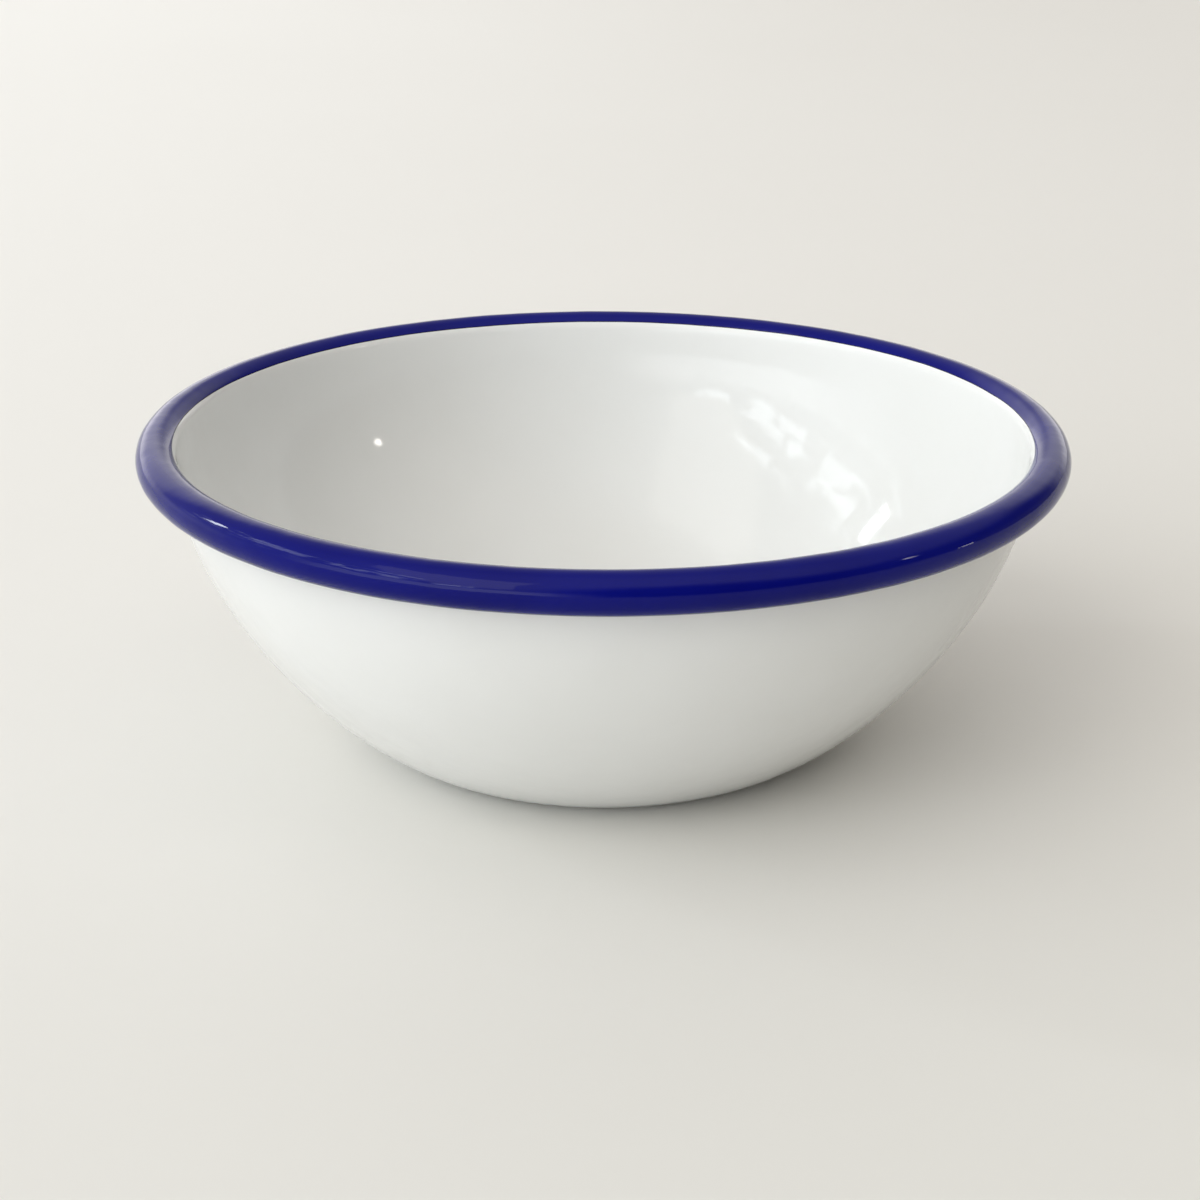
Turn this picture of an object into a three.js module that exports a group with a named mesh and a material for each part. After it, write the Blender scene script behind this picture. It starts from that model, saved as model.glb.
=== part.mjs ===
// Enamelled steel bowl: a pressed steel shell whose edge is curled outwards into a hollow bead,
// white enamel fired on inside and outside, and blue enamel over the bead.
// Millimetres, +Z up, standing on z = 0.
import * as THREE from 'three';

// Sizes of the finished bowl
const RIM_DIAMETER = 160;
const HEIGHT = 56;
const REST_RING_DIAMETER = 76;
const BASE_PANEL_DIAMETER = 56;
const BASE_PANEL_RISE = 0.8;
const BASE_PANEL_SLOPE = 4;

// Steel sheet and the coats on it
const SHEET = 0.6;
const INSIDE_COAT = 0.3;
const OUTSIDE_COAT = 0.3;
const RIM_COAT = 0.3;

// Wall curve: its angle at the rim, and the lengths of the tangents that draw it
const WALL_ANGLE = THREE.MathUtils.degToRad(82.4);
const BASE_TANGENT = 5.7;
const RIM_TANGENT = 26.6;

// Curled bead: bare diameter, gap left at the cut edge, blue fillet below it, colour line below the rim's top
const BEAD_DIAMETER = 6.15;
const CURL_GAP = 0.5;
const RIM_FILLET = 0.6;
const COLOUR_LINE_DROP = 1.6;

// Steps used to draw round stretches
const ROUND_STEPS = 52;
const WALL_STEPS = 9;
const SHOULDER_STEPS = 2;
const CURL_STEPS = 10;
const FILLET_STEPS = 3;

// Bead circle, in the plane of the profile: x is the radius from the bowl's axis, y is the height
const beadRadius = BEAD_DIAMETER / 2;
const blueRadius = beadRadius + RIM_COAT;
const bead = new THREE.Vector2(RIM_DIAMETER / 2 - blueRadius, HEIGHT - blueRadius);

// Angles round the bead, counted from outwards: where the wall runs into it, the colour line and the cut edge
const wallMeets = WALL_ANGLE + Math.PI / 2;
const colourLine = Math.PI - Math.asin((blueRadius - COLOUR_LINE_DROP) / blueRadius);
const openTurn = Math.acos((beadRadius - SHEET - CURL_GAP) / beadRadius);
const cutEdge = wallMeets - 2 * Math.PI + openTurn;

// Fillet circle below the bead, touching the outside coat and the blue coat
const wallFaceReach = beadRadius - SHEET - OUTSIDE_COAT;
const filletTurn = Math.acos((wallFaceReach - RIM_FILLET) / (blueRadius + RIM_FILLET));
const filletMeets = wallMeets - 2 * Math.PI + filletTurn;

// Distances down the wall from where it runs into the bead
const cutEdgeDrop = beadRadius * Math.sin(openTurn);
const blueEndDrop = (blueRadius + RIM_FILLET) * Math.sin(filletTurn);

function around(centre, radius, angle) {
  return new THREE.Vector2(Math.cos(angle), Math.sin(angle)).multiplyScalar(radius).add(centre);
}

function arc(centre, radius, from, to, steps) {
  const points = [];
  for (let i = 0; i <= steps; i += 1) {
    points.push(around(centre, radius, THREE.MathUtils.lerp(from, to, i / steps)));
  }
  return points;
}

// Middle line of the steel sheet from the axis to the cut edge, each point with its direction towards the
// bowl's inside
function sheetLine() {
  const line = [];
  const add = (point, inward) => line.push({ point, inward });
  const up = new THREE.Vector2(0, 1);
  const restHeight = OUTSIDE_COAT + SHEET / 2;
  const panelHeight = restHeight + BASE_PANEL_RISE;
  add(new THREE.Vector2(0, panelHeight), up);
  add(new THREE.Vector2(BASE_PANEL_DIAMETER / 2 - BASE_PANEL_SLOPE, panelHeight), up);
  add(new THREE.Vector2(BASE_PANEL_DIAMETER / 2, restHeight), up);

  const sheetRadius = beadRadius - SHEET / 2;
  const wallUp = new THREE.Vector2(Math.cos(WALL_ANGLE), Math.sin(WALL_ANGLE));
  const wallIn = new THREE.Vector2(-wallUp.y, wallUp.x);
  const wallTop = around(bead, sheetRadius, wallMeets);
  const blueEnd = wallTop.clone().addScaledVector(wallUp, -blueEndDrop);
  const restEdge = new THREE.Vector2(REST_RING_DIAMETER / 2, restHeight);
  const wall = new THREE.CubicBezierCurve(
    restEdge,
    restEdge.clone().add(new THREE.Vector2(BASE_TANGENT, 0)),
    blueEnd.clone().addScaledVector(wallUp, -RIM_TANGENT),
    blueEnd,
  );
  for (let i = 0; i <= WALL_STEPS; i += 1) {
    const tangent = wall.getTangent(i / WALL_STEPS);
    add(wall.getPoint(i / WALL_STEPS), new THREE.Vector2(-tangent.y, tangent.x));
  }
  const blueEndIndex = line.length - 1;
  add(wallTop.clone().addScaledVector(wallUp, -cutEdgeDrop), wallIn);
  const cutLevelIndex = line.length - 1;

  const turns = [
    ...arc(bead, sheetRadius, wallMeets, colourLine, SHOULDER_STEPS),
    ...arc(bead, sheetRadius, colourLine, cutEdge, CURL_STEPS).slice(1),
  ];
  turns.forEach((point) => add(point, point.clone().sub(bead).normalize()));
  const colourLineIndex = line.length - 1 - CURL_STEPS;
  return { line, blueEndIndex, cutLevelIndex, colourLineIndex };
}

const sheet = sheetLine();
const lastIndex = sheet.line.length - 1;

// Face parallel to the sheet's middle line, at a distance towards the bowl's inside
function face(distance, from, to) {
  return sheet.line.slice(from, to + 1).map(
    ({ point, inward }) => point.clone().addScaledVector(inward, distance),
  );
}

const steelIn = SHEET / 2;
const steelOut = -SHEET / 2;

// A profile turned about the bowl's axis, its points running with the solid on their left
function turned(profile) {
  return new THREE.LatheGeometry(profile, ROUND_STEPS).rotateX(Math.PI / 2);
}

// A coat is turned with its points in the steel's order and its faces then turned over, so that both split the
// face they share along the same lines
function turnedCoat(profile) {
  const geometry = turned([...profile].reverse());
  const corners = geometry.getIndex();
  for (let i = 0; i < corners.count; i += 3) {
    const second = corners.getX(i + 1);
    corners.setX(i + 1, corners.getX(i + 2));
    corners.setX(i + 2, second);
  }
  return geometry;
}

function steelShell() {
  return turned([
    ...face(steelOut, 0, lastIndex),
    ...face(steelIn, 0, lastIndex).reverse(),
  ]);
}

function enamelInside() {
  const end = sheet.colourLineIndex;
  return turnedCoat([
    ...face(steelIn, 0, end),
    ...face(steelIn + INSIDE_COAT, 0, end).reverse(),
  ]);
}

function enamelOutside() {
  const end = sheet.blueEndIndex;
  return turnedCoat([
    ...face(steelOut - OUTSIDE_COAT, 0, end),
    ...face(steelOut, 0, end).reverse(),
  ]);
}

// The blue coat lies on the curl, closes the gap at its cut edge and runs on to the wall in a small fillet
function rimEnamel() {
  const { blueEndIndex, cutLevelIndex, colourLineIndex } = sheet;
  const onCurl = face(steelIn, colourLineIndex, lastIndex);
  const onWall = face(steelOut, blueEndIndex, cutLevelIndex).reverse();
  const filletCentre = around(bead, blueRadius + RIM_FILLET, filletMeets);
  const fillet = arc(filletCentre, RIM_FILLET, wallMeets, filletMeets + Math.PI, FILLET_STEPS);
  const free = arc(bead, blueRadius, filletMeets, colourLine, CURL_STEPS);
  const profile = [...onCurl, ...onWall, ...fillet, ...free.slice(1)];
  return turnedCoat([...profile, profile[0].clone()]);
}

function steel() {
  return new THREE.MeshStandardMaterial({ color: 0x55585c, roughness: 0.5, metalness: 0.9 });
}

function whiteEnamel() {
  return new THREE.MeshStandardMaterial({ color: 0xecebe5, roughness: 0.12, metalness: 0 });
}

function blueEnamel() {
  return new THREE.MeshStandardMaterial({ color: 0x10186a, roughness: 0.1, metalness: 0 });
}

const bowl = new THREE.Group();
bowl.name = 'enamel_bowl';

function addPiece(name, geometry, material) {
  const piece = new THREE.Mesh(geometry, material);
  piece.name = name;
  bowl.add(piece);
}

addPiece('steel_shell', steelShell(), steel());
addPiece('enamel_inside', enamelInside(), whiteEnamel());
addPiece('enamel_outside', enamelOutside(), whiteEnamel());
addPiece('rim_enamel', rimEnamel(), blueEnamel());

export default bowl;
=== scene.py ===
import math

import bpy
from mathutils import Matrix, Vector


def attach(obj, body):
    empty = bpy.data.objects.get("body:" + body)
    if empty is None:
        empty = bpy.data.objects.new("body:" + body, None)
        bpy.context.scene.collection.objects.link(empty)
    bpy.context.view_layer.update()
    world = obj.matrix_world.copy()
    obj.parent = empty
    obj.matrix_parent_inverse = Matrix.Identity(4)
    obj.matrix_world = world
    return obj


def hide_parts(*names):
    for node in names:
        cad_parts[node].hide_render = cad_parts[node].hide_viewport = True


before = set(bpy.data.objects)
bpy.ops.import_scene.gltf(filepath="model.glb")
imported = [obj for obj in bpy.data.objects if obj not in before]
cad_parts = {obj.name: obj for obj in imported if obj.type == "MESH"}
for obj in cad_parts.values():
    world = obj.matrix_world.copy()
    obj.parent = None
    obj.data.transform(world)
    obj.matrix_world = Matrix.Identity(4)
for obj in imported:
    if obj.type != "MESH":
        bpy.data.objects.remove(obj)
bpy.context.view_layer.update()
scene = bpy.context.scene
scene.view_settings.view_transform = "Standard"

MM = 0.001

# Sizes of the finished bowl, the same as those of the solids
RIM_DIAMETER = 160 * MM
HEIGHT = 56 * MM
REST_RING_DIAMETER = 76 * MM
BASE_PANEL_DIAMETER = 56 * MM
BASE_PANEL_RISE = 0.8 * MM
BASE_PANEL_SLOPE = 4 * MM
SHEET = 0.6 * MM
INSIDE_COAT = 0.3 * MM
OUTSIDE_COAT = 0.3 * MM
RIM_COAT = 0.3 * MM
WALL_ANGLE = math.radians(82.4)
BASE_TANGENT = 5.7 * MM
RIM_TANGENT = 26.6 * MM
BEAD_DIAMETER = 6.15 * MM
CURL_GAP = 0.5 * MM
RIM_FILLET = 0.6 * MM
COLOUR_LINE_DROP = 1.6 * MM

# How the fired coats lie: the blue laps over the white with a thin raised lip, and its edge wanders a little
LIP_HEIGHT = 0.03 * MM
LIP_WIDTH = 0.3 * MM
LIP_SUNK = 0.06 * MM
LINE_WANDER = 0.16 * MM
WHITE_WAVE = 0.08 * MM
WHITE_WAVE_LENGTH = 10 * MM
BLUE_WAVE = 0.06 * MM
BLUE_WAVE_LENGTH = 8 * MM
CALM_START = 16 * MM
CALM_FADE = 9 * MM
INSIDE_SEED = 1.7
OUTSIDE_SEED = 5.3
RIM_SEED = 8.1

# Steps that the pieces are drawn with
COAT_TURN_STEPS = 480
SHELL_TURN_STEPS = 240
WALL_STEPS = 84
BASE_STEPS = 24
SAME_POINT = 0.0005 * MM
SHARP_EDGE = math.radians(50)

# The bead in the plane of the profile, and angles round it counted from outwards
bead_radius = BEAD_DIAMETER / 2
blue_radius = bead_radius + RIM_COAT
bead = Vector((RIM_DIAMETER / 2 - blue_radius, HEIGHT - blue_radius))
wall_meets = WALL_ANGLE + math.pi / 2
colour_line = math.pi - math.asin((blue_radius - COLOUR_LINE_DROP) / blue_radius)
cut_edge = wall_meets - 2 * math.pi + math.acos((bead_radius - SHEET - CURL_GAP) / bead_radius)
fillet_turn = math.acos((bead_radius - SHEET - OUTSIDE_COAT - RIM_FILLET) / (blue_radius + RIM_FILLET))
fillet_meets = wall_meets - 2 * math.pi + fillet_turn
blue_end_drop = (blue_radius + RIM_FILLET) * math.sin(fillet_turn)
wall_up = Vector((math.cos(WALL_ANGLE), math.sin(WALL_ANGLE)))


def span(start, end, steps):
    return [start + (end - start) * i / steps for i in range(steps + 1)]


def ease(x):
    x = min(max(x, 0.0), 1.0)
    return x * x * (3 - 2 * x)


def round_the_bead(radius, angle):
    return bead + radius * Vector((math.cos(angle), math.sin(angle)))


# Camera, fitted to the photo's outline

PHOTO_SIDE = 1200
FOCAL_PIXELS = 2200
CAMERA_DISTANCE = 384.32 * MM
CAMERA_ELEVATION = math.radians(16.888)
CAMERA_ROLL = math.radians(0.206)
RIM_CENTRE_PIXEL = (602.79, 435.54)
SENSOR = 36
CLIP_START = 0.01
CLIP_END = 50


def place_camera():
    data = bpy.data.cameras.new("photo_camera")
    data.sensor_width = SENSOR
    data.lens = SENSOR * FOCAL_PIXELS / PHOTO_SIDE
    data.clip_start = CLIP_START
    data.clip_end = CLIP_END
    camera = bpy.data.objects.new("photo_camera", data)
    scene.collection.objects.link(camera)
    rim_centre = Vector((0, 0, bead.y))
    away = Vector((0, -math.cos(CAMERA_ELEVATION), math.sin(CAMERA_ELEVATION)))
    aimed = (-away).to_track_quat("-Z", "Y").to_matrix()
    across = (RIM_CENTRE_PIXEL[0] - PHOTO_SIDE / 2) / FOCAL_PIXELS
    upward = (PHOTO_SIDE / 2 - RIM_CENTRE_PIXEL[1]) / FOCAL_PIXELS
    pan = math.atan(across)
    tilt = math.asin(upward / math.sqrt(1 + across * across + upward * upward))
    turned = aimed @ Matrix.Rotation(-tilt, 3, "X") @ Matrix.Rotation(pan, 3, "Y")
    turned = turned @ Matrix.Rotation(CAMERA_ROLL, 3, "Z")
    camera.matrix_world = Matrix.Translation(rim_centre + away * CAMERA_DISTANCE) @ turned.to_4x4()
    scene.camera = camera


place_camera()


# Node trees

class Wire:
    """A socket of a node tree. Arithmetic on it adds Math nodes."""

    def __init__(self, bench, socket):
        self.bench = bench
        self.socket = socket

    def maths(self, operation, *values):
        return self.bench.node("ShaderNodeMath", {"operation": operation}, dict(enumerate(values)))

    def __add__(self, other):
        return self.maths("ADD", self, other)

    def __radd__(self, other):
        return self.maths("ADD", other, self)

    def __sub__(self, other):
        return self.maths("SUBTRACT", self, other)

    def __rsub__(self, other):
        return self.maths("SUBTRACT", other, self)

    def __mul__(self, other):
        return self.maths("MULTIPLY", self, other)

    def __rmul__(self, other):
        return self.maths("MULTIPLY", other, self)

    def __truediv__(self, other):
        return self.maths("DIVIDE", self, other)

    def __rtruediv__(self, other):
        return self.maths("DIVIDE", other, self)


class Bench:
    """A node tree under construction."""

    def __init__(self, tree):
        self.tree = tree

    def node(self, kind, settings=None, inputs=None, output=0):
        """A new node with its settings and its sockets' values or links. Gives back one of its outputs."""
        made = self.tree.nodes.new(kind)
        for name, value in (settings or {}).items():
            setattr(made, name, value)
        for name, value in (inputs or {}).items():
            if isinstance(value, Wire):
                self.tree.links.new(value.socket, made.inputs[name])
            else:
                made.inputs[name].default_value = value
        return Wire(self, made.outputs[output]) if made.outputs else None

    def colours(self, share, first, second):
        """A colour mixed from two, by a share from 0 to 1."""
        return self.node("ShaderNodeMix", {"data_type": "RGBA"}, {"Factor": share, 6: first, 7: second}, 2)

    def between(self, value, low, high):
        """A value's smooth rise from 0 at low to 1 at high."""
        return self.node("ShaderNodeMapRange", {"interpolation_type": "SMOOTHSTEP"},
                         {"Value": value, "From Min": low, "From Max": high})


def turned_coat_tree():
    """Geometry Nodes that turn a profile about the bowl's axis, with the waves of a fired coat in its surface."""
    tree = bpy.data.node_groups.new("turned_coat", "GeometryNodeTree")
    inputs = {}
    for name, kind in (("Profile", "Geometry"), ("Turn steps", "Int"), ("Wave", "Float"), ("Wave length", "Float"),
                       ("Line wander", "Float"), ("Seed", "Float"), ("Enamel", "Material")):
        socket = tree.interface.new_socket(name, in_out="INPUT", socket_type="NodeSocket" + kind)
        inputs[name] = socket.identifier
    tree.interface.new_socket("Coat", in_out="OUTPUT", socket_type="NodeSocketGeometry")
    bench = Bench(tree)
    given = tree.nodes.new("NodeGroupInput")
    asked = {name: Wire(bench, given.outputs[name]) for name in inputs}

    def whole(operation, first, second):
        return bench.node("FunctionNodeIntegerMath", {"operation": operation}, {0: first, 1: second})

    def on_profile(name, kind):
        value = bench.node("GeometryNodeInputNamedAttribute", {"data_type": kind}, {"Name": name})
        return bench.node("GeometryNodeSampleIndex", {"data_type": kind},
                          {"Geometry": asked["Profile"], "Value": value, "Index": row})

    columns = whole("ADD", asked["Turn steps"], 1)
    points = bench.node("GeometryNodeAttributeDomainSize", None, {"Geometry": asked["Profile"]})
    grid = bench.node("GeometryNodeMeshGrid", None, {"Vertices X": points, "Vertices Y": columns})
    index = bench.node("GeometryNodeInputIndex")
    row = whole("DIVIDE_FLOOR", index, columns)
    turn = whole("MODULO", index, columns) / asked["Turn steps"] * (2 * math.pi)
    cosine = turn.maths("COSINE", turn)
    sine = turn.maths("SINE", turn)

    place = bench.node("GeometryNodeSampleIndex", {"data_type": "FLOAT_VECTOR"},
                       {"Geometry": asked["Profile"], "Value": bench.node("GeometryNodeInputPosition"), "Index": row})
    ring = bench.node("ShaderNodeCombineXYZ", None, {"X": cosine, "Y": sine, "Z": asked["Seed"]})
    wander = bench.node("ShaderNodeTexNoise", None, {"Vector": ring, "Scale": 2.6, "Detail": 3.0, "Roughness": 0.6})
    wander = (wander - 0.5) * asked["Line wander"] * 2
    slid = bench.node("ShaderNodeVectorMath", {"operation": "MULTIPLY_ADD"},
                      {0: on_profile("slide", "FLOAT_VECTOR"),
                       1: bench.node("ShaderNodeCombineXYZ", None, {"X": wander, "Y": wander, "Z": wander}),
                       2: place})

    def turned(point):
        radius = bench.node("ShaderNodeSeparateXYZ", None, {"Vector": point}, 0)
        height = bench.node("ShaderNodeSeparateXYZ", None, {"Vector": point}, 2)
        return bench.node("ShaderNodeCombineXYZ", None, {"X": radius * cosine, "Y": radius * sine, "Z": height})

    spot = bench.node("ShaderNodeVectorMath", {"operation": "ADD"}, {
        0: turned(slid), 1: bench.node("ShaderNodeCombineXYZ", None, {"X": asked["Seed"]})})
    wave = bench.node("ShaderNodeTexNoise", None,
                      {"Vector": spot, "Scale": 1 / asked["Wave length"], "Detail": 2.0, "Roughness": 0.45})
    swell = (wave - 0.5) * 2 * asked["Wave"] * on_profile("swell", "FLOAT")
    swollen = bench.node("ShaderNodeVectorMath", {"operation": "MULTIPLY_ADD"},
                         {0: on_profile("outward", "FLOAT_VECTOR"),
                          1: bench.node("ShaderNodeCombineXYZ", None, {"X": swell, "Y": swell, "Z": swell}),
                          2: slid})
    coat = bench.node("GeometryNodeSetPosition", None, {"Geometry": grid, "Position": turned(swollen)})
    coat = bench.node("GeometryNodeStoreNamedAttribute", {"data_type": "FLOAT", "domain": "POINT"},
                      {"Geometry": coat, "Name": "run", "Value": on_profile("run", "FLOAT")})
    coat = bench.node("GeometryNodeMergeByDistance", None, {"Geometry": coat, "Distance": SAME_POINT})
    sharp = bench.node("GeometryNodeInputMeshEdgeAngle")
    sharp = bench.node("FunctionNodeCompare", {"operation": "GREATER_THAN"}, {0: sharp, 1: SHARP_EDGE})
    coat = bench.node("GeometryNodeSetShadeSmooth", {"domain": "FACE"}, {"Geometry": coat})
    coat = bench.node("GeometryNodeSetShadeSmooth", {"domain": "EDGE"},
                      {"Geometry": coat, "Selection": sharp, "Shade Smooth": False})
    coat = bench.node("GeometryNodeRealizeInstances", None, {"Geometry": coat})
    coat = bench.node("GeometryNodeSetMaterial", None, {"Geometry": coat, "Material": asked["Enamel"]})
    result = tree.nodes.new("NodeGroupOutput")
    tree.links.new(coat.socket, result.inputs["Coat"])
    return tree, inputs


coat_tree, coat_inputs = turned_coat_tree()


def plain_mesh(name, profile_object):
    """The evaluated result of an object's modifiers as a mesh object of its own."""
    depsgraph = bpy.context.evaluated_depsgraph_get()
    mesh = bpy.data.meshes.new_from_object(profile_object.evaluated_get(depsgraph), depsgraph=depsgraph)
    mesh.name = name
    bpy.data.objects.remove(profile_object)
    piece = bpy.data.objects.new(name, mesh)
    scene.collection.objects.link(piece)
    return piece


def turn_coat(name, profile, enamel, turn_steps, wave=0.0, wave_length=1.0, seed=0.0, wander=0.0):
    """A coat turned from its closed profile, whose points (place, swell, slide) run with the coat on their right."""
    places = [place for place, swell, slide in profile]
    mesh = bpy.data.meshes.new(name + "_profile")
    mesh.from_pydata([(p.x, 0, p.y) for p in places], [(i, i + 1) for i in range(len(places) - 1)], [])
    outward, slides, runs = [], [], []
    run = 0.0
    for i, (place, swell, slide) in enumerate(profile):
        before = places[max(i - 1, 0)]
        along = (places[min(i + 1, len(places) - 1)] - before).normalized()
        run += (place - before).length
        outward += (-along.y, 0, along.x)
        slides += (slide.x, 0, slide.y) if slide else (0, 0, 0)
        runs.append(run)
    for label, kind, values in (("outward", "FLOAT_VECTOR", outward), ("slide", "FLOAT_VECTOR", slides),
                                ("swell", "FLOAT", [swell for place, swell, slide in profile]),
                                ("run", "FLOAT", runs)):
        key = "vector" if kind == "FLOAT_VECTOR" else "value"
        mesh.attributes.new(label, kind, "POINT").data.foreach_set(key, values)
    maker = bpy.data.objects.new(name + "_profile", mesh)
    scene.collection.objects.link(maker)
    modifier = maker.modifiers.new("turned_coat", "NODES")
    modifier.node_group = coat_tree
    for label, value in (("Turn steps", turn_steps), ("Wave", wave), ("Wave length", wave_length),
                         ("Line wander", wander), ("Seed", seed), ("Enamel", enamel)):
        modifier[coat_inputs[label]] = value
    return plain_mesh(name, maker)


# Profiles: x is the radius from the bowl's axis, y is the height

def sheet_line():
    """Middle line of the steel sheet from the axis up to the bead, each point with its inward direction."""
    rest_height = OUTSIDE_COAT + SHEET / 2
    panel_edge = BASE_PANEL_DIAMETER / 2 - BASE_PANEL_SLOPE
    line = []
    for radius in span(0, REST_RING_DIAMETER / 2, BASE_STEPS):
        rise = BASE_PANEL_RISE * (1 - ease((radius - panel_edge) / BASE_PANEL_SLOPE))
        line.append(Vector((radius, rest_height + rise)))
    wall_top = round_the_bead(bead_radius - SHEET / 2, wall_meets)
    blue_end = wall_top - wall_up * blue_end_drop
    rest_edge = line[-1]
    corners = (rest_edge, rest_edge + Vector((BASE_TANGENT, 0)), blue_end - wall_up * RIM_TANGENT, blue_end)
    for t in span(0, 1, WALL_STEPS)[1:]:
        shares = ((1 - t) ** 3, 3 * t * (1 - t) ** 2, 3 * t * t * (1 - t), t ** 3)
        line.append(sum((share * corner for share, corner in zip(shares, corners)), Vector((0, 0))))
    wall_end = len(line) - 1
    line += [blue_end.lerp(wall_top, share) for share in span(0, 1, 6)[1:]]
    pairs = []
    for i, point in enumerate(line):
        along = line[min(i + 1, len(line) - 1)] - line[max(i - 1, 0)]
        inward = Vector((-along.y, along.x)).normalized() if i else Vector((0, 1))
        pairs.append((point, inward))
    return pairs, wall_end


sheet, wall_end = sheet_line()


def off_sheet(distance, pairs):
    """Face parallel to the sheet's middle line, at a distance towards the bowl's inside."""
    return [point + inward * distance for point, inward in pairs]


def thinned(pairs, step):
    """Every so many points of a line, with its last."""
    return pairs[:-1:step] + pairs[-1:]


def still(points):
    """Points of a profile that have no waves and don't slide with the colour line."""
    return [(point, 0.0, None) for point in points]


def calm_near_rim(point):
    """Share of the waves that a white coat keeps: none of them where it meets the blue."""
    return 1 - ease((point.y - HEIGHT + CALM_START) / CALM_FADE)


def shell_profile():
    """Pressed steel: the wall's two faces, and the edge curled outwards into a hollow bead."""
    curl = span(wall_meets, cut_edge, 48)[1:]
    wall = thinned(sheet, 2)
    inner = off_sheet(SHEET / 2, wall) + [round_the_bead(bead_radius, a) for a in curl]
    outer = off_sheet(-SHEET / 2, wall) + [round_the_bead(bead_radius - SHEET, a) for a in curl]
    return still(inner + outer[::-1])


def inside_profile():
    """White inside coat: its free face runs on under the blue lip, and it closes along the steel."""
    free = [(point, calm_near_rim(point), None) for point in off_sheet(SHEET / 2 + INSIDE_COAT, sheet)]
    tucked = colour_line - math.radians(8)
    end = colour_line - math.radians(16)
    shoulder = [round_the_bead(blue_radius, a) for a in span(wall_meets, tucked, 16)[1:]]
    under = [round_the_bead(blue_radius - RIM_COAT * ease(share), tucked + (end - tucked) * share)
             for share in span(0, 1, 6)[1:]]
    back = [round_the_bead(bead_radius, a) for a in span(end, wall_meets, 6)[1:-1]]
    bonded = off_sheet(SHEET / 2, thinned(sheet, 4))
    return free + still(shoulder + under + back + bonded[::-1])


def outside_profile():
    """White outside coat: its free face stands on the table, and its top end lies under the blue."""
    tucked = sheet[:wall_end + 4]
    free = off_sheet(-SHEET / 2 - OUTSIDE_COAT, tucked)
    rest_edge = REST_RING_DIAMETER / 2
    free = [(point, calm_near_rim(point) * ease((point.x - rest_edge) / (0.5 * rest_edge)), None) for point in free]
    return free[::-1] + still(off_sheet(-SHEET / 2, thinned(tucked, 4)))


def rim_profile():
    """Blue coat: from its lip at the colour line over the bead and down to the fillet on the wall."""
    lip_turn = LIP_WIDTH / blue_radius
    settle_turn = math.radians(40)
    start = colour_line + 0.1 * lip_turn
    over = []
    for angle in span(start, start - 2 * lip_turn, 20)[:-1] + span(start - 2 * lip_turn, fillet_meets, 96):
        passed = (start - angle) / lip_turn
        if passed < 1:
            rise = -LIP_SUNK + (LIP_SUNK + LIP_HEIGHT) * math.sin(math.pi / 2 * passed)
        else:
            rise = LIP_HEIGHT * (1 - ease((passed - 1) * lip_turn / settle_turn))
        tangent = Vector((-math.sin(angle), math.cos(angle)))
        over.append((round_the_bead(blue_radius + rise, angle), ease((passed - 0.5) / 6),
                     tangent * (1 - ease((passed - 1) / 6))))
    centre = round_the_bead(blue_radius + RIM_FILLET, fillet_meets)
    fillet = [centre + RIM_FILLET * Vector((math.cos(a), math.sin(a)))
              for a in span(fillet_meets + math.pi, wall_meets, 14)[1:]]
    foot = fillet[-1] - wall_up * 0.3 * MM + Vector((-wall_up.y, wall_up.x)) * LIP_SUNK
    hidden = [round_the_bead(bead_radius + 0.02 * MM, a) for a in span(fillet_meets, colour_line, 24)]
    settled = [(point, 0.5 * (1 - i / len(fillet)), None) for i, point in enumerate(fillet)]
    profile = over + settled + still([foot] + hidden)
    return profile + profile[:1]


# Finishes

GLASS_IOR = 1.5
WHITE_SHEEN = 0.25
BLUE_SHEEN = 0.14
WHITE_PEEL = 0.025 * MM
BLUE_PEEL = 0.03 * MM
RUBBED_BELOW = 0.03 * MM
UNRUBBED_ABOVE = 0.25 * MM
# Width of the painted shade line in the blue next to the white
PAINTED_SHADE_FULL = 0.22 * MM
PAINTED_SHADE_END = 0.42 * MM


def new_finish(name):
    finish = bpy.data.materials.new(name)
    finish.use_nodes = True
    finish.node_tree.nodes.clear()
    return finish, Bench(finish.node_tree)


def close_finish(bench, sockets):
    shader = bench.node("ShaderNodeBsdfPrincipled", None, sockets)
    bench.node("ShaderNodeOutputMaterial", None, {"Surface": shader})


def rgb(red, green, blue):
    return (red, green, blue, 1.0)


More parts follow.
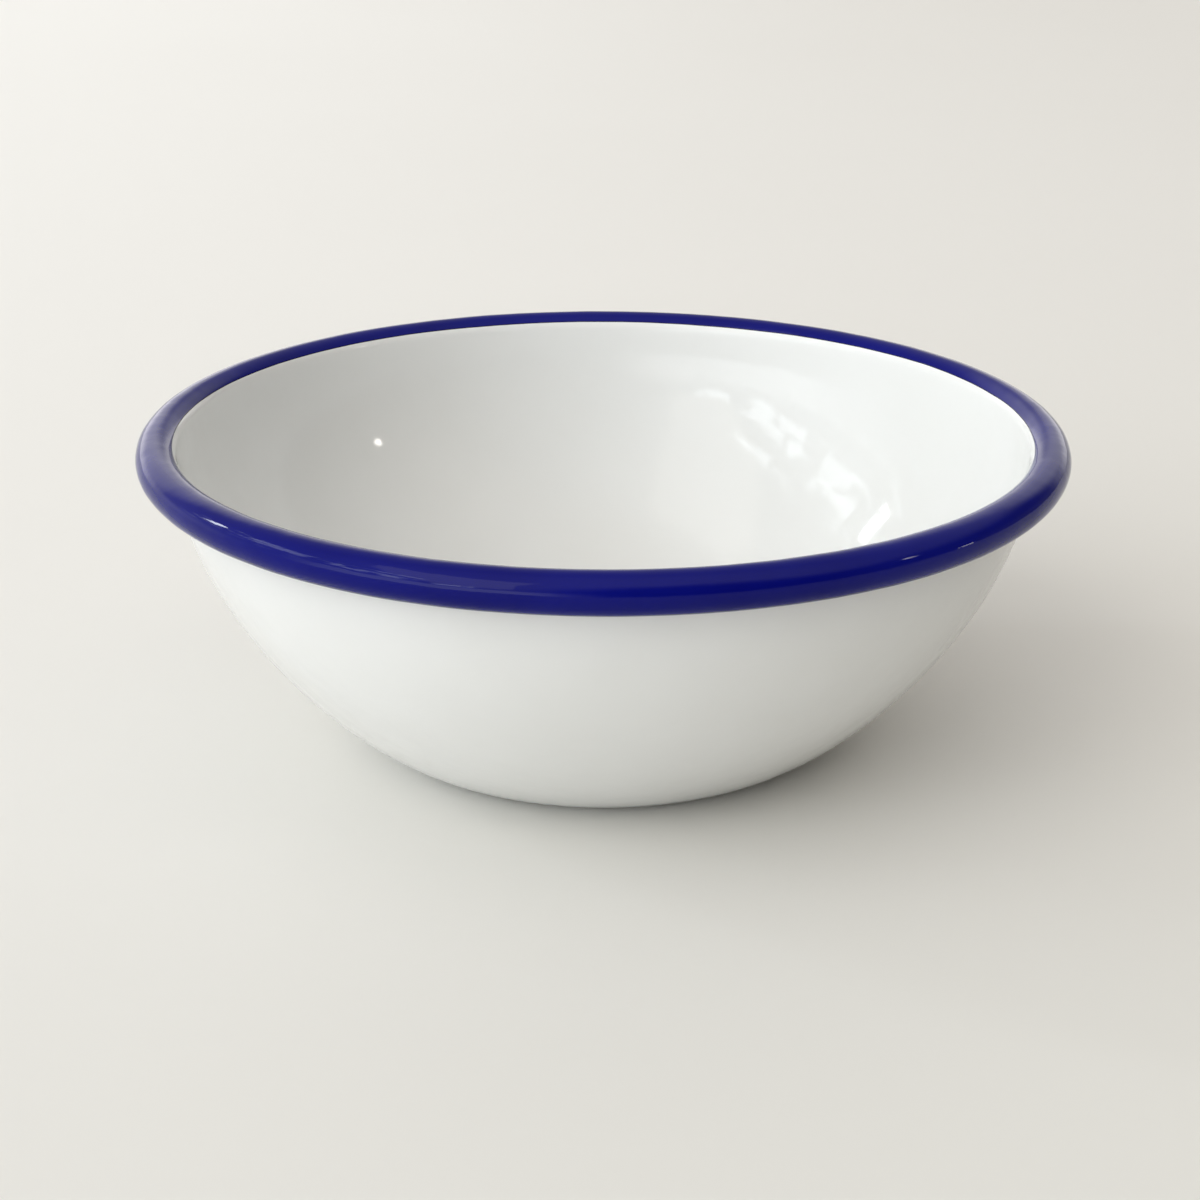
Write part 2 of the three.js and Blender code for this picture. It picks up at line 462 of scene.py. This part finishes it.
def white_enamel():
    """White glass with a few dark flecks, a little rubbed where it stands on the table."""
    finish, bench = new_finish("white_enamel")
    where = bench.node("ShaderNodeTexCoord", None, None, 3)
    cloud = bench.node("ShaderNodeTexNoise", None, {"Vector": where, "Scale": 22.0, "Detail": 3.0})
    body = bench.colours(bench.between(cloud, 0.3, 0.7), rgb(0.765, 0.768, 0.752), rgb(0.79, 0.794, 0.782))
    cells = bench.node("ShaderNodeTexVoronoi", None, {"Vector": where, "Scale": 75.0})
    chance = bench.node("ShaderNodeTexVoronoi", None, {"Vector": where, "Scale": 75.0}, 1)
    chosen = bench.between(bench.node("ShaderNodeSeparateColor", None, {"Color": chance}), 0.975, 0.98)
    fleck = (1 - bench.between(cells, 0.010, 0.020)) * chosen
    body = bench.colours(fleck * 0.6, body, rgb(0.2, 0.19, 0.18))
    height = bench.node("ShaderNodeSeparateXYZ", None, {"Vector": where}, 2)
    rub = bench.node("ShaderNodeTexNoise", None, {"Vector": where, "Scale": 1100.0, "Detail": 3.0})
    rubbed = (1 - bench.between(height, RUBBED_BELOW, UNRUBBED_ABOVE)) * bench.between(rub, 0.48, 0.75)
    body = bench.colours(rubbed * 0.35, body, rgb(0.52, 0.51, 0.49))
    smear = bench.node("ShaderNodeTexNoise", None, {"Vector": where, "Scale": 60.0, "Detail": 4.0})
    peel = bench.node("ShaderNodeTexNoise", None, {"Vector": where, "Scale": 330.0, "Detail": 1.5})
    bump = bench.node("ShaderNodeBump", None, {"Strength": 1.0, "Distance": WHITE_PEEL, "Height": peel})
    close_finish(bench, {"Base Color": body, "Roughness": 0.04 + 0.05 * smear + 0.35 * rubbed, "IOR": GLASS_IOR,
                         "Specular IOR Level": WHITE_SHEEN, "Normal": bump})
    return finish


def blue_enamel():
    """Blue glass, with painted shade in a thin near-black line where it runs out over the white."""
    finish, bench = new_finish("blue_enamel")
    where = bench.node("ShaderNodeTexCoord", None, None, 3)
    cloud = bench.node("ShaderNodeTexNoise", None, {"Vector": where, "Scale": 45.0, "Detail": 4.0})
    body = bench.colours(bench.between(cloud, 0.25, 0.75), rgb(0.0016, 0.0026, 0.125), rgb(0.0028, 0.0048, 0.16))
    from_edge = bench.node("ShaderNodeAttribute", {"attribute_name": "run"}, None, 2)
    # Painted shade: a thin near-black line in the blue next to the white, standing in for the dark reflection seen
    # there
    edge = 1 - bench.between(from_edge, PAINTED_SHADE_FULL, PAINTED_SHADE_END)
    body = bench.colours(edge * 0.85, body, rgb(0.011, 0.006, 0.018))
    smear = bench.node("ShaderNodeTexNoise", None, {"Vector": where, "Scale": 120.0, "Detail": 4.0})
    peel = bench.node("ShaderNodeTexNoise", None, {"Vector": where, "Scale": 300.0, "Detail": 2.0})
    bump = bench.node("ShaderNodeBump", None, {"Strength": 1.0, "Distance": BLUE_PEEL, "Height": peel})
    close_finish(bench, {"Base Color": body, "Roughness": 0.03 + 0.04 * smear, "IOR": GLASS_IOR,
                         "Specular IOR Level": BLUE_SHEEN, "Normal": bump})
    return finish


def bare_steel():
    """Dark scaled steel, hidden below the coats."""
    finish, bench = new_finish("bare_steel")
    where = bench.node("ShaderNodeTexCoord", None, None, 3)
    scale = bench.node("ShaderNodeTexNoise", None, {"Vector": where, "Scale": 90.0, "Detail": 5.0})
    body = bench.colours(bench.between(scale, 0.35, 0.65), rgb(0.09, 0.095, 0.105), rgb(0.17, 0.165, 0.16))
    close_finish(bench, {"Base Color": body, "Roughness": 0.35 + 0.3 * scale, "Metallic": 0.9})
    return finish


white = white_enamel()
blue = blue_enamel()
steel = bare_steel()

shell = turn_coat("pressed_shell", shell_profile(), steel, SHELL_TURN_STEPS)
inside = turn_coat("inside_coat", inside_profile(), white, COAT_TURN_STEPS, WHITE_WAVE, WHITE_WAVE_LENGTH,
                   INSIDE_SEED)
outside = turn_coat("outside_coat", outside_profile(), white, COAT_TURN_STEPS, WHITE_WAVE, WHITE_WAVE_LENGTH,
                    OUTSIDE_SEED)
rim = turn_coat("rim_coat", rim_profile(), blue, COAT_TURN_STEPS, BLUE_WAVE, BLUE_WAVE_LENGTH, RIM_SEED,
                LINE_WANDER)

for piece, node, slot in ((shell, "steel_shell", "sheet_steel"), (inside, "enamel_inside", "white_enamel"),
                          (outside, "enamel_outside", "white_enamel"), (rim, "rim_enamel", "blue_enamel")):
    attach(piece, "root")
    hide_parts(node)


# Table and light. Directions count azimuth from the camera's side towards the right and elevation from level, both
# in degrees as the bowl sees them

TABLE_REACH = 6.0
# Where the painted light and shade on the table runs from light to dark
TABLE_LEFT = -0.45
TABLE_RIGHT = 0.55
TABLE_NEAR = -0.25
TABLE_FAR = 0.4
LAMP_DISTANCE = 5.0

# Strengths of the light by direction
ROOM = 0.62
BRIGHT_SIDE = 0.35
FRONT_ABOVE = 0.56
FRONT_LOW = 2.4
BACKDROP = 0.5
LEFT_WALL = 0.99
RIGHT_WALL = 0.54
DARK_SIDE = 0.95
DARK_RIGHT = 0.85
BRIGHT_GAPS = 8.0
WARM_PATCH = 1.5

# Where the light comes from
TO_BRIGHT_SIDE = (-0.88, -0.46, 0.1)
TO_FRONT_ABOVE = (0.0, -0.56, 0.83)
TO_FRONT_LOW = (-0.58, -0.81, 0.05)
TO_BACKDROP = (0, 1, 0)
TO_LEFT_WALL = (-0.42, 0.88, 0.22)
TO_RIGHT_WALL = (0.42, 0.88, 0.22)
TO_DARK_SIDE = (0.35, -0.9, 0.26)

# Tints of the light
ROOM_TINT = rgb(1.0, 0.975, 0.935)
BRIGHT_TINT = rgb(0.92, 0.965, 1.0)
GAP_TINT = rgb(0.86, 0.94, 1.0)
PATCH_TINT = rgb(1.0, 0.95, 0.86)
WALL_IN_VIEW = rgb(0.80, 0.79, 0.76)
DAYLIGHT = (0.90, 0.96, 1.0)
LAMPLIGHT = (1.0, 0.95, 0.88)


def table():
    """A plain pale table top with painted light and shade: darker towards the right, lighter at the far left."""
    mesh = bpy.data.meshes.new("table")
    corners = [(x * TABLE_REACH, y * TABLE_REACH, 0) for x, y in ((-1, -1), (1, -1), (1, 1), (-1, 1))]
    mesh.from_pydata(corners, [], [(0, 1, 2, 3)])
    top = bpy.data.objects.new("table", mesh)
    scene.collection.objects.link(top)
    finish, bench = new_finish("pale_table")
    where = bench.node("ShaderNodeTexCoord", None, None, 3)
    cloud = bench.node("ShaderNodeTexNoise", None, {"Vector": where, "Scale": 3.0, "Detail": 3.0})
    across = bench.node("ShaderNodeSeparateXYZ", None, {"Vector": where}, 0)
    depth = bench.node("ShaderNodeSeparateXYZ", None, {"Vector": where}, 1)
    # Painted light and shade: the table's colour darkens to the right and lightens far on the left, standing in for
    # the fall of the window light
    painted_shade_to_right = bench.between(across + 0.1 * cloud, TABLE_LEFT, TABLE_RIGHT)
    near = bench.colours(painted_shade_to_right, rgb(0.82, 0.81, 0.785), rgb(0.71, 0.695, 0.645))
    far = bench.colours(painted_shade_to_right, rgb(0.88, 0.87, 0.845), rgb(0.70, 0.68, 0.645))
    body = bench.colours(bench.between(depth, TABLE_NEAR, TABLE_FAR), near, far)
    close_finish(bench, {"Base Color": body, "Roughness": 0.7, "IOR": 1.4})
    mesh.materials.append(finish)


def pane(name, azimuth, elevation, width, height, radiance, colour):
    """A small lit pane that faces the bowl, all its angles in degrees."""
    data = bpy.data.lights.new(name, "AREA")
    data.shape = "RECTANGLE"
    data.size = 2 * LAMP_DISTANCE * math.tan(math.radians(width / 2)) * math.cos(math.radians(elevation))
    data.size_y = 2 * LAMP_DISTANCE * math.tan(math.radians(height / 2))
    data.energy = radiance * math.pi * data.size * data.size_y
    data.color = colour
    lamp = bpy.data.objects.new(name, data)
    scene.collection.objects.link(lamp)
    lamp.visible_camera = False
    a = math.radians(azimuth)
    e = math.radians(elevation)
    towards = Vector((math.sin(a) * math.cos(e), -math.cos(a) * math.cos(e), math.sin(e)))
    lamp.location = towards * LAMP_DISTANCE
    lamp.rotation_mode = "QUATERNION"
    lamp.rotation_quaternion = (-towards).to_track_quat("-Z", "Y")


def room_light():
    """Light by direction: bright gaps, bars and a warm patch on the left, pale light from behind, and dark sides to
    the right and behind the camera. The camera itself sees a plain pale backdrop."""
    world = bpy.data.worlds.new("room")
    scene.world = world
    world.use_nodes = True
    world.node_tree.nodes.clear()
    bench = Bench(world.node_tree)
    towards = bench.node("ShaderNodeTexCoord", None, None, 0)
    x, y, z = (bench.node("ShaderNodeSeparateXYZ", None, {"Vector": towards}, i) for i in range(3))
    azimuth = x.maths("ARCTAN2", x, 0 - y) * math.degrees(1)
    elevation = z.maths("ARCSINE", z) * math.degrees(1)

    def lobe(direction, low, high):
        facing = bench.node("ShaderNodeVectorMath", {"operation": "DOT_PRODUCT"}, {0: towards, 1: direction}, 1)
        return bench.between(facing, low, high)

    def within(value, low, high, soft):
        return bench.between(value, low - soft, low + soft) * (1 - bench.between(value, high - soft, high + soft))

    def below(low, high):
        return 1 - bench.between(elevation, low, high)

    # Bright gaps and bars, broken up by noise, and a warm patch
    grid = bench.node("ShaderNodeCombineXYZ", None, {"X": azimuth / 6, "Y": elevation / 4})
    mottle = bench.node("ShaderNodeTexNoise", None, {"Vector": grid, "Scale": 1.0, "Detail": 3.0})
    near_gap = within(azimuth, -39, -29, 1.0) * within(elevation, 16.5, 21, 0.8)
    wide_gap = within(azimuth, -69, -44, 1.0) * within(elevation + 0.3 * azimuth, 2, 10, 1.0)
    far_gap = within(azimuth, -99, -77, 1.0) * within(elevation, 24, 34, 1.0)
    bars = azimuth.maths("SINE", 0.9 * elevation + 0.1 * azimuth + 3 * mottle)
    barred = within(azimuth, -118, -60, 2.0) * within(elevation, 12, 36, 1.0) * bench.between(bars, 0.90, 0.99)
    slit = within(azimuth, -60, -44, 1.0) * within(elevation + 0.2 * azimuth, 20.5, 22.5, 0.5)
    gaps = near_gap + 0.8 * wide_gap + 0.6 * far_gap + 0.5 * barred + slit
    gaps = gaps * bench.between(mottle, 0.42, 0.52)
    patch = within(azimuth, -90, -22, 1.0) * within(elevation, 20, 58, 1.0)
    patch = patch * bench.between(azimuth + 1.2 * elevation, -16, -12)

    # The broad light
    bright = lobe(TO_BRIGHT_SIDE, 0.35, 1.0)
    level = ROOM + BRIGHT_SIDE * bright + FRONT_ABOVE * lobe(TO_FRONT_ABOVE, 0.5, 1.0)
    level = level + FRONT_LOW * lobe(TO_FRONT_LOW, 0.7, 0.95) * below(11, 17)
    level = level + BACKDROP * lobe(TO_BACKDROP, -0.1, 0.3) * below(5, 13)
    level = level + RIGHT_WALL * lobe(TO_RIGHT_WALL, 0.88, 0.98) + LEFT_WALL * lobe(TO_LEFT_WALL, 0.88, 0.98)
    level = level * (1 - DARK_SIDE * lobe(TO_DARK_SIDE, 0.74, 0.96))
    level = level * (1 - DARK_RIGHT * bench.between(x, 0.45, 0.75) * below(20, 40))

    tint = bench.colours(bright, ROOM_TINT, BRIGHT_TINT)
    glow = bench.node("ShaderNodeBackground", None, {"Color": tint, "Strength": level})
    for colour, strength in ((GAP_TINT, BRIGHT_GAPS * gaps), (PATCH_TINT, WARM_PATCH * patch)):
        part = bench.node("ShaderNodeBackground", None, {"Color": colour, "Strength": strength})
        glow = bench.node("ShaderNodeAddShader", None, {0: glow, 1: part})
    wall = bench.node("ShaderNodeBackground", None, {"Color": WALL_IN_VIEW, "Strength": 1.0})
    in_view = bench.node("ShaderNodeLightPath", None, None, 0)
    shown = bench.node("ShaderNodeMixShader", None, {0: in_view, 1: glow, 2: wall})
    bench.node("ShaderNodeOutputWorld", None, {"Surface": shown})


table()
room_light()
pane("window_edge", -110, 26, 4, 7, 26.0, DAYLIGHT)
pane("small_lamp", 77, 22, 2.5, 2, 40.0, LAMPLIGHT)
pane("low_lamp", 91, 2, 5, 2, 12.0, LAMPLIGHT)
